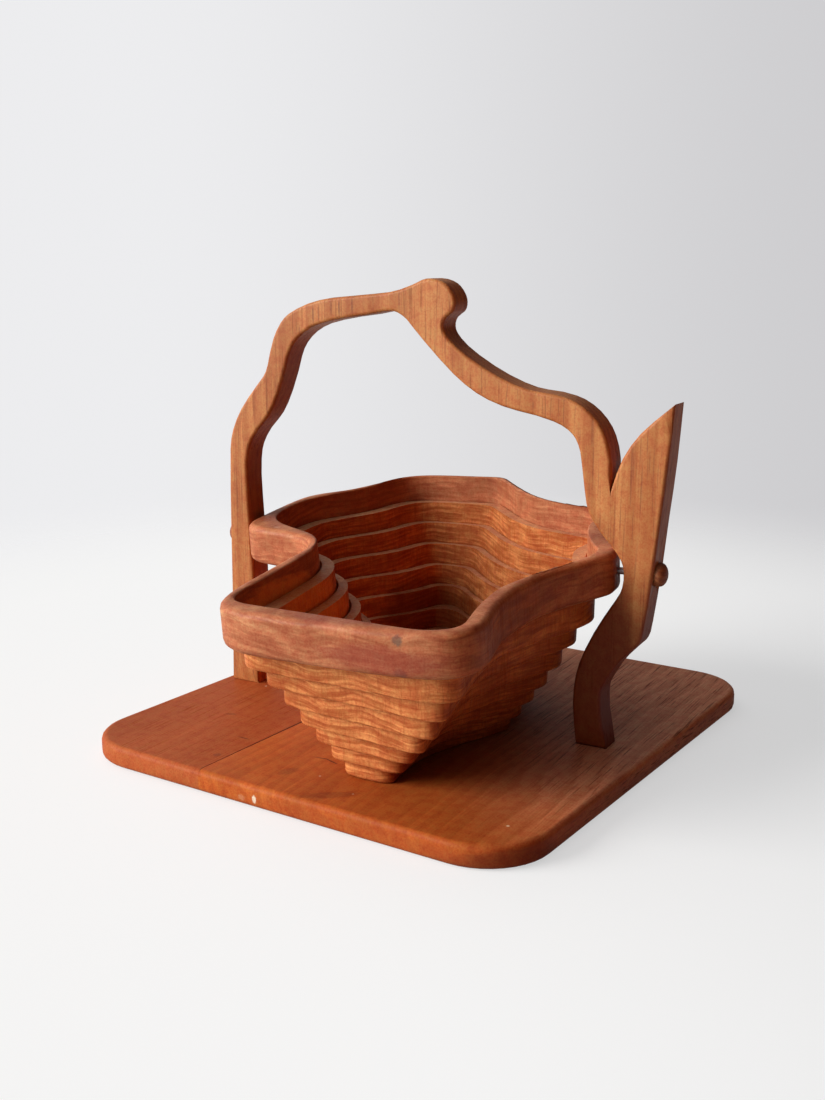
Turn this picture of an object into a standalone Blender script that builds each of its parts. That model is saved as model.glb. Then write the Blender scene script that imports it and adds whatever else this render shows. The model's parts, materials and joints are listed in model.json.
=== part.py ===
# Collapsible wooden basket: nested rings hang from a rim that turns on two pins in an upright
# handle frame, and the frame stands loosely on a board of two glued planks.
# Metres, +Z up. The origin is the middle of the board's underside, +X runs along the handle.

import math

import bmesh
import bpy
import numpy as np
from mathutils import Euler, Matrix, Vector

# Board
BOARD_WIDTH = 0.3105
BOARD_DEPTH = 0.3380
BOARD_THICKNESS = 0.0135
BOARD_CORNER_RADIUS = 0.0395
BOARD_EDGE_ROUND = 0.0035
BOARD_TURN_DEG = -4.23
SEAM_WIDTH = 0.0003
NARROW_PLANK_SHARE = 0.33
CORNER_STEPS = 10

# Handle frame
HANDLE_THICKNESS = 0.01905
HANDLE_ROUND = 0.0022
HANDLE_SET_BACK = 0.0112
PIN_REACH = 0.1332
ARCH_RISE = 0.1500
PIN_DROP = 0.1063
FOOT_GAP = 0.0003
OPENING_WIDEST_SHARE = 1.012
POST_INNER_SHARE = 0.976
POST_OUTER_SHARE = 1.104
FIN_OUTER_SHARE = 1.152

# Basket
BASKET_THICKNESS = 0.0256
LOBE_REACH = 0.1700
RIM_ROUND = 0.0042
RIM_INNER_EASE = 0.0008
RIM_CORNER_LOSS = 0.00105
RIM_LEAST_WALL = 0.0042
SWING_GAP = 0.0015
TILT_DEG = 5.2
PIN_LINE_RISE_DEG = 1.0
SIDE_PITCH = 0.0084
FRONT_PITCH = 0.0050
PITCH_SHARES = (1.25, 1.0, 1.0, 0.93, 0.93, 0.85)
LOBE_SHIFTS = (0.0030, 0.0045, 0.0045, 0.0043, 0.0045, 0.0033)
FIRST_CORNER = 0.0065
CORNER_GROWTH = 0.0004
KERF = 0.0014
BEVEL_DEG = 2.4
RING_DROPS = (0.0174, 0.0136, 0.0138, 0.0134, 0.0120, 0.0120)
RING_ROLLS_DEG = (0.4, 0.9, 0.8, 0.3, -0.4, -0.8)
TIER_COUNT = len(RING_DROPS)
TIER_ROUND = 0.0018
TIER_EASE = 0.0005
FLOOR_GAP = 0.0003

# Pins
PLUG_RADIUS = 0.0070
PLUG_FIT = 0.0001
PLUG_DOME = 0.0042
PLUG_DEPTH = 0.0035
PLUG_PROUD = 0.0008
PLUG_TIP_SHARE = 0.02
SCREW_RADIUS = 0.0021
SCREW_FIT = 0.00005
SCREW_HEAD_RADIUS = 0.0045
SCREW_HEAD_LENGTH = 0.0025
SCREW_GRIP = 0.0110
PART_GAP = 0.0003

# Sampling
LINE_SAMPLES = 420
STRAIGHT_SPACING = 0.0170
CLOSEST_SPACING = 0.0022
TURN_STEP_DEG = 13.0
ROUND_STEPS = 3
TIER_ROUND_STEPS = 2
EASE_STEPS = 1
DOME_STEPS = 6
PIN_SIDES = 24
SPLINE_STEPS = 12
LIGHT_EASE_STEPS = 2
FULL_EASE_STEPS = 4
UNCROSSED_SHARE = 0.995
NEARLY_UNCROSSED_SHARE = 0.97
SMOOTH_DEG = 35.0
MERGE = 0.00002

# Outlines. Across: shares of the pins' reach. Up: shares of the arch's rise above the pins, and of
# the pins' height above the feet (or of the lobe's reach, in the rim) below them.
arch_back_shares = [
    (-1.119, -1.0), (-1.108, -0.423), (-1.104, 0.0), (-1.098, 0.267), (-1.085, 0.427),
    (-1.032, 0.537), (-0.950, 0.634), (-0.867, 0.721), (-0.835, 0.812), (-0.805, 0.886),
    (-0.745, 0.960), (-0.643, 1.009), (-0.520, 1.039), (-0.329, 1.057), (-0.144, 1.074),
    (-0.056, 1.097), (0.038, 1.127), (0.131, 1.107), (0.178, 1.050), (0.174, 1.003),
    (0.128, 0.967), (0.122, 0.927), (0.169, 0.873), (0.300, 0.795), (0.435, 0.737),
    (0.548, 0.705), (0.668, 0.693), (0.762, 0.671), (0.837, 0.629), (0.896, 0.567),
    (0.929, 0.493), (0.941, 0.413), (0.937, 0.323),
]
fin_inner_shares = [(0.937, 0.323), (0.952, 0.373), (0.991, 0.467), (1.062, 0.560), (1.210, 0.679)]
leg_outer_shares = [
    (1.210, 0.679), (1.191, 0.431), (1.161, 0.175), (1.150, 0.064), (1.121, -0.198),
    (1.098, -0.350), (1.045, -0.425), (0.993, -0.501), (0.954, -0.584), (0.929, -0.645),
    (0.924, -0.727), (0.930, -0.818), (0.945, -0.908), (0.957, -1.0),
]
opening_shares = [
    (0.813, -1.000), (0.798, -0.857), (0.792, -0.715), (0.806, -0.569), (0.837, -0.452),
    (0.895, -0.301), (0.960, -0.165), (1.000, -0.080), (1.012, 0.000), (1.004, 0.053),
    (0.972, 0.100), (0.895, 0.173), (0.846, 0.237), (0.827, 0.287), (0.817, 0.347),
    (0.803, 0.429), (0.790, 0.490), (0.762, 0.537), (0.706, 0.573), (0.601, 0.602),
    (0.428, 0.632), (0.309, 0.671), (0.207, 0.727), (0.105, 0.805), (-0.025, 0.919),
    (-0.079, 0.969), (-0.143, 0.995), (-0.258, 0.980), (-0.450, 0.955), (-0.578, 0.925),
    (-0.661, 0.880), (-0.713, 0.823), (-0.752, 0.722), (-0.800, 0.613), (-0.848, 0.537),
    (-0.931, 0.455), (-0.976, 0.383), (-0.991, 0.293), (-0.986, 0.133), (-0.976, 0.000),
    (-0.966, -0.282), (-0.961, -0.564), (-0.961, -1.000),
]
lobe_shares = [
    (0.780, -0.529), (0.785, -0.612), (0.808, -0.700), (0.837, -0.794), (0.824, -0.882),
    (0.758, -0.944), (0.631, -0.979), (0.375, -0.997), (0.075, -1.000), (-0.105, -1.000),
    (-0.236, -0.982), (-0.330, -0.929), (-0.372, -0.841), (-0.390, -0.735), (-0.399, -0.618),
    (-0.413, -0.471), (-0.420, -0.353), (-0.443, -0.279), (-0.495, -0.226), (-0.578, -0.194),
    (-0.691, -0.176), (-0.841, -0.159), (-0.916, -0.135), (-0.961, -0.088), (-0.974, -0.024),
]
rim_inner_shares = [
    (-0.833, -0.012), (-0.882, 0.053), (-0.905, 0.147), (-0.908, 0.267), (-0.886, 0.360),
    (-0.826, 0.453), (-0.755, 0.547), (-0.709, 0.640), (-0.683, 0.733), (-0.638, 0.817),
    (-0.556, 0.870), (-0.435, 0.897), (-0.248, 0.920), (-0.150, 0.930), (-0.090, 0.907),
    (-0.008, 0.837), (0.090, 0.750), (0.188, 0.677), (0.285, 0.623), (0.413, 0.583),
    (0.586, 0.553), (0.661, 0.530), (0.698, 0.487), (0.691, 0.413), (0.679, 0.333),
    (0.715, 0.217), (0.788, 0.088), (0.833, 0.027), (0.867, -0.009), (0.875, -0.059),
    (0.851, -0.139), (0.809, -0.231), (0.762, -0.313), (0.722, -0.401), (0.690, -0.498),
    (0.690, -0.576), (0.700, -0.661), (0.728, -0.776), (0.743, -0.829), (0.739, -0.868),
    (0.706, -0.899), (0.631, -0.922), (0.544, -0.925), (0.363, -0.918), (0.078, -0.911),
    (-0.075, -0.907), (-0.171, -0.905), (-0.233, -0.898), (-0.278, -0.874), (-0.300, -0.835),
    (-0.311, -0.788), (-0.312, -0.694), (-0.324, -0.559), (-0.336, -0.427), (-0.349, -0.353),
    (-0.368, -0.294), (-0.402, -0.235), (-0.450, -0.185), (-0.518, -0.144), (-0.616, -0.109),
    (-0.728, -0.071),
]
LEG_BULGE_SHARE = 0.72


# Outline tools

def placed(shares, below):
    """Turn shares into metres; heights under the pins are shares of the size given."""
    return np.array([(x * PIN_REACH, y * (ARCH_RISE if y > 0 else below)) for x, y in shares])


def spline(points, closed):
    """Centripetal spline through the points, sampled densely."""
    if closed:
        line = np.vstack([points[-1:], points, points[:2]])
    else:
        line = np.vstack([2 * points[0] - points[1], points, 2 * points[-1] - points[-2]])
    samples = []
    for p0, p1, p2, p3 in zip(line, line[1:], line[2:], line[3:]):
        t1 = math.sqrt(math.dist(p0, p1))
        t2 = t1 + math.sqrt(math.dist(p1, p2))
        t3 = t2 + math.sqrt(math.dist(p2, p3))
        t = np.linspace(t1, t2, SPLINE_STEPS, endpoint=False)[:, None]
        a1 = (t1 - t) / t1 * p0 + t / t1 * p1
        a2 = (t2 - t) / (t2 - t1) * p1 + (t - t1) / (t2 - t1) * p2
        a3 = (t3 - t) / (t3 - t2) * p2 + (t - t2) / (t3 - t2) * p3
        b1 = (t2 - t) / t2 * a1 + t / t2 * a2
        b2 = (t3 - t) / (t3 - t1) * a2 + (t - t1) / (t3 - t1) * a3
        samples.append((t2 - t) / (t2 - t1) * b1 + (t - t1) / (t2 - t1) * b2)
    if not closed:
        samples.append(points[-1:])
    return np.vstack(samples)


def resampled(line, count, closed=True):
    """Space the points of a line evenly along it."""
    ring = np.vstack([line, line[:1]]) if closed else line
    along = np.concatenate([[0.0], np.cumsum(np.linalg.norm(np.diff(ring, axis=0), axis=1))])
    at = np.linspace(0.0, along[-1], count, endpoint=not closed)
    return np.column_stack([np.interp(at, along, ring[:, axis]) for axis in (0, 1)])


def graded(line, closed=True):
    """Sample a line by its length and by how much it turns, so bends get more points."""
    ring = np.vstack([line, line[:1]]) if closed else line
    step = np.diff(ring, axis=0)
    heading = np.unwrap(np.arctan2(step[:, 1], step[:, 0]))
    turn = np.abs(np.gradient(heading)) / math.radians(TURN_STEP_DEG)
    length = np.linalg.norm(step, axis=1)
    share = length / STRAIGHT_SPACING + np.minimum(turn, length / CLOSEST_SPACING)
    measure = np.concatenate([[0.0], np.cumsum(share)])
    at = np.linspace(0.0, measure[-1], max(4, int(round(measure[-1]))), endpoint=not closed)
    return np.column_stack([np.interp(at, measure, ring[:, axis]) for axis in (0, 1)])


def softened(line, steps):
    """Ease the corners of a closed line."""
    for _ in range(steps):
        line = ((np.roll(line, 1, axis=0) + line) / 2 + (np.roll(line, -1, axis=0) + line) / 2) / 2
    return line


def inward_normals(line):
    """Unit normals of a closed line, pointing to its inside."""
    step = np.roll(line, -1, axis=0) - np.roll(line, 1, axis=0)
    normals = np.column_stack([-step[:, 1], step[:, 0]])
    following = np.roll(line, -1, axis=0)
    turning = (line[:, 0] * following[:, 1] - line[:, 1] * following[:, 0]).sum()
    return normals / np.linalg.norm(normals, axis=1)[:, None] * np.sign(turning)


def offsets(points, line):
    """For each point, the straight way to it from the nearest place on a closed line."""
    start = line[None]
    edge = np.roll(line, -1, axis=0)[None] - start
    rel = points[:, None] - start
    share = np.clip((rel * edge).sum(2) / (edge ** 2).sum(2), 0, 1)
    ways = rel - share[:, :, None] * edge
    nearest = np.linalg.norm(ways, axis=2).argmin(axis=1)
    return ways[np.arange(len(points)), nearest]


def distances(points, line):
    """Distance from each point to a closed line."""
    return np.linalg.norm(offsets(points, line), axis=1)


def held_off(points, line, wall):
    """Points moved straight away from a closed line where they lie nearer to it than a wall."""
    ways = offsets(points, line)
    length = np.linalg.norm(ways, axis=1)
    return points + ways * (np.maximum(wall - length, 0.0) / length)[:, None]


def moved_in(line, distance):
    """Move every point of a closed line inward; points that would cross go to a kept neighbour."""
    moved = line + inward_normals(line) * distance
    kept = np.flatnonzero(distances(moved, line) > abs(distance) * NEARLY_UNCROSSED_SHARE)
    index = np.arange(len(line))
    gap = np.abs(index[:, None] - kept[None])
    nearest = kept[np.minimum(gap, len(line) - gap).argmin(axis=1)]
    return moved[nearest]


def inset(line, distance):
    """Closed line moved in (or out, if negative) with the crossed stretches left out."""
    moved = line + inward_normals(line) * distance
    kept = moved[distances(moved, line) > abs(distance) * UNCROSSED_SHARE]
    return resampled(kept, LINE_SAMPLES)


def turned(points, degrees):
    """Turn flat points about the origin."""
    cos, sin = math.cos(math.radians(degrees)), math.sin(math.radians(degrees))
    return points @ np.array([[cos, sin], [-sin, cos]])


# Mesh tools

def add_walls(bm, loops):
    """Quads between matching loops of points; returns the rings of vertices."""
    rings = [[bm.verts.new(p) for p in loop] for loop in loops]
    for upper, lower in zip(rings, rings[1:]):
        for i in range(len(upper)):
            j = (i + 1) % len(upper)
            bm.faces.new((upper[i], upper[j], lower[j], lower[i]))
    return rings


def fill_flat(bm, rings):
    """Fill the flat area bounded by one ring, or between two."""
    edges = []
    for ring in rings:
        for i, vert in enumerate(ring):
            other = ring[(i + 1) % len(ring)]
            edges.append(bm.edges.get((vert, other)) or bm.edges.new((vert, other)))
    bmesh.ops.triangle_fill(bm, use_beauty=True, use_dissolve=False, edges=edges)


def as_loop(line, height):
    """Points of a flat line at a height."""
    return [(x, y, height) for x, y in line]


def rounded_levels(line, target, face, reach, steps):
    """Loops of a rounded edge, from the flat face outward to the wall."""
    loops = []
    for step in range(steps + 1):
        angle = math.pi / 2 * (1 - step / steps)
        share = 1 - math.cos(angle)
        loops.append(as_loop(line + (target - line) * share, face - reach * (1 - math.sin(angle))))
    return loops


def finish_mesh(name, bm, material):
    """Close, clean and shade the mesh, and put it in the scene as an object."""
    bmesh.ops.remove_doubles(bm, verts=bm.verts, dist=MERGE)
    bmesh.ops.dissolve_degenerate(bm, edges=bm.edges, dist=MERGE)
    bmesh.ops.recalc_face_normals(bm, faces=bm.faces)
    mesh = bpy.data.meshes.new(name)
    bm.to_mesh(mesh)
    bm.free()
    mesh.shade_smooth()
    mesh.set_sharp_from_angle(angle=math.radians(SMOOTH_DEG))
    obj = bpy.data.objects.new(name, mesh)
    bpy.context.scene.collection.objects.link(obj)
    obj.data.materials.append(material)
    return obj


def wood(name, color, roughness):
    """One satin wood material."""
    material = bpy.data.materials.new(name)
    material.use_nodes = True
    shader = material.node_tree.nodes["Principled BSDF"]
    shader.inputs["Base Color"].default_value = (*color, 1.0)
    shader.inputs["Roughness"].default_value = roughness
    shader.inputs["Metallic"].default_value = 0.0
    return material


def steel(name):
    """Plain steel for the hidden screws."""
    material = wood(name, (0.55, 0.55, 0.57), 0.35)
    material.node_tree.nodes["Principled BSDF"].inputs["Metallic"].default_value = 1.0
    return material


def lathe(name, profile, material):
    """Turned piece on the local X axis from (along, radius) pairs with its ends on the axis."""
    bm = bmesh.new()
    angles = [2 * math.pi * side / PIN_SIDES for side in range(PIN_SIDES)]
    loops = [[(x, r * math.cos(a), r * math.sin(a)) for a in angles] for x, r in profile]
    rings = add_walls(bm, loops)
    bm.faces.new(rings[0])
    bm.faces.new(rings[-1])
    return finish_mesh(name, bm, material)


def cut(obj, cutter, operation="DIFFERENCE"):
    """Cut one object with another, which is then hidden."""
    modifier = obj.modifiers.new(cutter.name, "BOOLEAN")
    modifier.operation = operation
    modifier.solver = "EXACT"
    modifier.object = cutter
    cutter.hide_render = True
    cutter.display_type = "WIRE"


# Board pieces

def board_outline():
    """Rectangle with round corners."""
    half = np.array([BOARD_WIDTH / 2, BOARD_DEPTH / 2])
    points = []
    for quarter, (sx, sy) in enumerate(((1, 1), (-1, 1), (-1, -1), (1, -1))):
        middle = (half - BOARD_CORNER_RADIUS) * (sx, sy)
        for step in range(CORNER_STEPS + 1):
            angle = math.pi / 2 * (quarter + step / CORNER_STEPS)
            arm = BOARD_CORNER_RADIUS * np.array([math.cos(angle), math.sin(angle)])
            points.append(middle + arm)
    return np.array(points)


def board_blank(name, material):
    """The whole board as one rounded slab."""
    line = board_outline()
    target = line + inward_normals(line) * BOARD_EDGE_ROUND
    upper = rounded_levels(line, target, BOARD_THICKNESS, BOARD_EDGE_ROUND, ROUND_STEPS)
    lower = rounded_levels(line, target, 0.0, -BOARD_EDGE_ROUND, ROUND_STEPS)
    bm = bmesh.new()
    rings = add_walls(bm, upper + lower[::-1])
    fill_flat(bm, [rings[0]])
    fill_flat(bm, [rings[-1]])
    board = finish_mesh(name, bm, material)
    board.rotation_euler = (0.0, 0.0, math.radians(BOARD_TURN_DEG))
    return board


def plank_cutter(name, low, high, board):
    """Block that keeps one plank's stretch of the board."""
    around = [(low, -BOARD_DEPTH), (high, -BOARD_DEPTH), (high, BOARD_DEPTH), (low, BOARD_DEPTH)]
    bm = bmesh.new()
    rings = add_walls(bm, [as_loop(around, BOARD_WIDTH), as_loop(around, -BOARD_WIDTH)])
    bm.faces.new(rings[0])
    bm.faces.new(rings[1])
    cutter = finish_mesh(name, bm, board.data.materials[0])
    cutter.rotation_euler = board.rotation_euler
    cut(board, cutter, "INTERSECT")


def build_board():
    """Two planks glued edge to edge, drawn with a hairline seam."""
    seam = BOARD_WIDTH * NARROW_PLANK_SHARE - BOARD_WIDTH / 2
    narrow = board_blank("board_narrow_plank", wood("narrow_plank_wood", (0.30, 0.105, 0.055), 0.42))
    wide = board_blank("board_wide_plank", wood("wide_plank_wood", (0.33, 0.135, 0.065), 0.42))
    plank_cutter("narrow_plank_cutter", -BOARD_WIDTH, seam - SEAM_WIDTH / 2, narrow)
    plank_cutter("wide_plank_cutter", seam + SEAM_WIDTH / 2, BOARD_WIDTH, wide)


# Handle piece

def opening_line():
    """Inner edge of the handle frame, from the right foot over the top to the left foot."""
    return spline(placed(opening_shares, PIN_DROP), False)


def handle_outline():
    """Whole outline of the handle frame, with sharp corners at the feet, notch and fin tip."""
    runs = [arch_back_shares, fin_inner_shares, leg_outer_shares]
    lines = [spline(placed(shares, PIN_DROP), False) for shares in runs] + [opening_line()]
    joined = np.vstack([graded(line, closed=False) for line in lines])
    step = np.linalg.norm(joined - np.roll(joined, 1, axis=0), axis=1)
    return joined[step > MERGE]


def pin_frame(turn_deg=0.0, tilt_deg=0.0):
    """Frame on the middle of the pin line, at the handle's mid plane."""
    height = BOARD_THICKNESS + FOOT_GAP + PIN_DROP
    turn = Euler((0.0, -math.radians(turn_deg), 0.0)).to_matrix()
    tilt = Matrix.Rotation(math.radians(tilt_deg), 3, "X")
    return Matrix.LocRotScale(Vector((0.0, -HANDLE_SET_BACK, height)), turn @ tilt, None)


def build_handle():
    """Upright frame sawn from one board, edges rounded, bored for the pins."""
    line = handle_outline()
    target = moved_in(line, HANDLE_ROUND)
    half = HANDLE_THICKNESS / 2
    front = rounded_levels(line, target, half, HANDLE_ROUND, ROUND_STEPS)
    back = rounded_levels(line, target, -half, -HANDLE_ROUND, ROUND_STEPS)
    bm = bmesh.new()
    rings = add_walls(bm, front + back[::-1])
    bmesh.ops.remove_doubles(bm, verts=bm.verts, dist=MERGE)
    for level in (half, -half):
        edges = [e for e in bm.edges if e.is_boundary and abs(e.verts[0].co.z - level) < MERGE]
        bmesh.ops.triangle_fill(bm, use_beauty=True, use_dissolve=False, edges=edges)
    handle = finish_mesh("handle_frame", bm, wood("handle_wood", (0.52, 0.22, 0.085), 0.38))
    stand = Matrix.Rotation(math.pi / 2, 4, "X")
    handle.matrix_world = pin_frame() @ stand
    return handle


# Basket pieces

def rim_outline():
    """Rim outline: inside the handle's opening where it swings through it, free at the lobe."""
    reach = (BASKET_THICKNESS / 2 - RIM_CORNER_LOSS) ** 2
    edge = turned(opening_line(), -PIN_LINE_RISE_DEG)
    far = edge[(edge[:, 1] > 0) & (edge[:, 1] ** 2 > reach)]
    far[:, 1] = np.sqrt(far[:, 1] ** 2 - reach)
    near = edge[(edge[:, 0] > 0) & (edge[:, 1] < 0) & (edge[:, 1] > -PIN_DROP * LEG_BULGE_SHARE)]
    near = near[near[:, 1] ** 2 > reach + (HANDLE_THICKNESS / 2) ** 2]
    near[:, 1] = -np.sqrt(near[:, 1] ** 2 - reach)
    lobe = spline(placed(lobe_shares, LOBE_REACH), False)
    whole = np.vstack([near[::-1], lobe, far[::-1]])
    even = softened(resampled(whole, LINE_SAMPLES), FULL_EASE_STEPS)
    return even + inward_normals(even) * SWING_GAP


def kerf_lines(outline):
    """Middle lines of the saw cuts between neighbouring pieces, from the rim inward."""
    stretch = np.array([1.0, SIDE_PITCH / FRONT_PITCH])
    drawn = resampled(spline(placed(rim_inner_shares, LOBE_REACH), True), LINE_SAMPLES)
    first = softened(held_off(drawn, outline, RIM_LEAST_WALL), LIGHT_EASE_STEPS)
    lines = [first * stretch]
    for step, share in enumerate(PITCH_SHARES):
        corner = FIRST_CORNER + CORNER_GROWTH * step
        inner = inset(inset(lines[-1], SIDE_PITCH * share + corner), -corner)
        lines.append(softened(inner, FULL_EASE_STEPS))
    lines = [line / stretch for line in lines]
    return [graded(shifted(line, by)) for line, by in zip(lines, (0.0, *LOBE_SHIFTS))]


def shifted(line, by):
    """Lean a cut's lobe to the right: nothing at the pins, the full shift at the lobe's end."""
    depth = np.minimum(line[:, 1], 0.0) / LOBE_REACH
    return line + np.column_stack([by * depth ** 2, np.zeros(len(line))])


def wall_line(line, inward, height):
    """A cut's wall at a height: kerf to one side, and further in the lower it is."""
    slope = math.tan(math.radians(BEVEL_DEG))
    return line + inward_normals(line) * (inward * KERF / 2 - height * slope)


def outer_wall(line, round_top, round_bottom):
    """Loops of a ring's outer wall from its top face to its bottom face."""
    half = BASKET_THICKNESS / 2
    top, bottom = wall_line(line, 1, half), wall_line(line, 1, -half)
    inner_top = top + inward_normals(top) * round_top
    inner_bottom = bottom + inward_normals(bottom) * round_bottom
    upper = rounded_levels(top, inner_top, half, round_top, EASE_STEPS)
    lower = rounded_levels(bottom, inner_bottom, -half, -round_bottom, TIER_ROUND_STEPS)
    return upper + lower[::-1]


def inner_wall(line, ease=0.0):
    """Loops of the wall around a ring's opening, its top edge broken where an ease is given."""
    half = BASKET_THICKNESS / 2
    top, bottom = wall_line(line, -1, half), wall_line(line, -1, -half)
    loops = [as_loop(top, half - ease), as_loop(bottom, -half)]
    if ease:
        loops.insert(0, as_loop(top - inward_normals(top) * ease, half))
    return loops


def ring_mesh(name, outer, inner, material):
    """Closed ring between an outer and an inner wall."""
    bm = bmesh.new()
    outside = add_walls(bm, outer)
    inside = add_walls(bm, inner)
    fill_flat(bm, [outside[0], inside[0]])
    fill_flat(bm, [outside[-1], inside[-1]])
    return finish_mesh(name, bm, material)


def rim_outer_wall(line):
    """Loops of the rim's outer wall, square to its faces and well rounded."""
    half = BASKET_THICKNESS / 2
    target = moved_in(line, RIM_ROUND)
    upper = rounded_levels(line, target, half, RIM_ROUND, ROUND_STEPS)
    lower = rounded_levels(line, target, -half, -RIM_ROUND, ROUND_STEPS)
    return upper + lower[::-1]


def ring_turns():
    """Each ring's turn from the ring above it; the last one brings the bottom level."""
    up = Vector((0.0, 0.0, 1.0))
    total = pin_frame(PIN_LINE_RISE_DEG, TILT_DEG).to_3x3()
    axis, angle = up.rotation_difference(total.inverted() @ up).to_axis_angle()
    fan = axis * (angle / (TIER_COUNT + 1))
    turns = []
    for roll in RING_ROLLS_DEG:
        turn = fan + Vector((0.0, math.radians(roll), 0.0))
        turns.append(Matrix.Rotation(turn.length, 3, turn))
        total = total @ turns[-1]
    return turns + [up.rotation_difference(total.inverted() @ up).to_matrix()]


def ring_hangs():
    """For each ring: where the line lies about which it turns from the ring above, and how."""
    up = Vector((0.0, 0.0, 1.0))
    fall = PIN_DROP + FOOT_GAP - BASKET_THICKNESS / 2 - FLOOR_GAP
    above = pin_frame(PIN_LINE_RISE_DEG, TILT_DEG).to_3x3()
    hangs = []
    for step, turn in enumerate(ring_turns()):
        axis, angle = turn.to_quaternion().to_axis_angle()
        arm = up.cross(axis).normalized() / math.sin(angle)
        lowering = -(above @ (arm - turn @ arm)).dot(up)
        drop = RING_DROPS[step] if step < TIER_COUNT else fall / lowering
        hangs.append((arm * drop, turn))
        fall -= drop * lowering
        above = above @ turn
    return hangs


def hang_ring(obj, step, above):
    """Hang a ring from an empty on its fan line, turned one step from the ring above."""
    arm, turn = ring_hangs()[step - 1]
    pivot = bpy.data.objects.new("fan_pivot_%d" % step, None)
    bpy.context.scene.collection.objects.link(pivot)
    pivot.parent = above
    pivot.location = arm
    pivot.rotation_mode = "QUATERNION"
    pivot.rotation_quaternion = turn.to_quaternion()
    obj.parent = pivot
    obj.location = -arm


def build_basket():
    """Rim, rings and bottom, cut one inside the other from one board."""
    outline = rim_outline()
    cuts = kerf_lines(outline)
    pivot = bpy.data.objects.new("rim_pivot", None)
    bpy.context.scene.collection.objects.link(pivot)
    pivot.matrix_world = pin_frame(PIN_LINE_RISE_DEG, TILT_DEG)
    rim_wood = wood("rim_wood", (0.42, 0.16, 0.09), 0.36)
    opening = inner_wall(cuts[0], RIM_INNER_EASE)
    rim = ring_mesh("basket_rim", rim_outer_wall(graded(outline)), opening, rim_wood)
    rim.parent = pivot
    above = rim
    for step in range(1, TIER_COUNT + 1):
        outer = outer_wall(cuts[step - 1], TIER_EASE, TIER_ROUND)
        tier_wood = wood("tier_%d_wood" % step, (0.40, 0.13, 0.055), 0.38)
        tier = ring_mesh("basket_tier_%d" % step, outer, inner_wall(cuts[step]), tier_wood)
        hang_ring(tier, step, above)
        above = tier
    build_bottom(cuts[-1], above)
    return rim


def build_bottom(line, above):
    """The solid piece left in the middle."""
    bm = bmesh.new()
    rings = add_walls(bm, outer_wall(line, TIER_EASE, TIER_ROUND))
    fill_flat(bm, [rings[0]])
    fill_flat(bm, [rings[-1]])
    bottom = finish_mesh("basket_bottom", bm, wood("bottom_wood", (0.34, 0.11, 0.05), 0.40))
    hang_ring(bottom, TIER_COUNT + 1, above)


# Pin pieces

def dome_profile(start, base):
    """Plug on the X axis: a short shank, then a low dome."""
    profile = [(start, PLUG_RADIUS), (base, PLUG_RADIUS)]
    for step in range(1, DOME_STEPS):
        angle = math.pi / 2 * step / DOME_STEPS
        profile.append((base + PLUG_DOME * math.sin(angle), PLUG_RADIUS * math.cos(angle)))
    profile.append((base + PLUG_DOME, PLUG_RADIUS * PLUG_TIP_SHARE))
    return profile


def mounted(obj, side):
    """Put a turned piece on the pin line, pointing out to one side."""
    flip = Matrix.Rotation(0.0 if side > 0 else math.pi, 4, "Z")
    obj.matrix_world = pin_frame(PIN_LINE_RISE_DEG) @ flip
    return obj


def build_pin(label, side, inner, outer, handle, rim):
    """Screw through a post into the rim, under a domed plug in the post's side."""
    base = outer + PLUG_PROUD
    seat = outer - PLUG_DEPTH
    head = seat - PART_GAP - SCREW_HEAD_LENGTH
    tip = inner - SCREW_GRIP
    plug_wood = wood("plug_%s_wood" % label, (0.45, 0.20, 0.09), 0.35)
    mounted(lathe("button_plug_" + label, dome_profile(seat, base), plug_wood), side)
    screw_profile = [
        (tip, SCREW_RADIUS), (head, SCREW_RADIUS),
        (head, SCREW_HEAD_RADIUS), (head + SCREW_HEAD_LENGTH, SCREW_HEAD_RADIUS),
    ]
    mounted(lathe("pivot_screw_" + label, screw_profile, steel("steel_" + label)), side)
    bore = SCREW_RADIUS + SCREW_FIT
    room = PLUG_RADIUS + PLUG_FIT
    shoulder = head - PART_GAP
    bore_profile = [(tip, bore), (shoulder, bore), (shoulder, room), (base + PLUG_DOME, room)]
    cut(handle, mounted(lathe("post_cutter_" + label, bore_profile, plug_wood), side))
    end_profile = [(tip - PART_GAP, bore), (outer, bore)]
    cut(rim, mounted(lathe("end_cutter_" + label, end_profile, plug_wood), side))


def main():
    """Clear the scene and build every piece."""
    for obj in list(bpy.data.objects):
        bpy.data.objects.remove(obj, do_unlink=True)
    build_board()
    handle = build_handle()
    rim = build_basket()
    build_pin("left", -1, PIN_REACH * POST_INNER_SHARE, PIN_REACH * POST_OUTER_SHARE, handle, rim)
    build_pin("right", 1, PIN_REACH * OPENING_WIDEST_SHARE, PIN_REACH * FIN_OUTER_SHARE, handle, rim)
    bpy.context.view_layer.update()


main()
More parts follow.
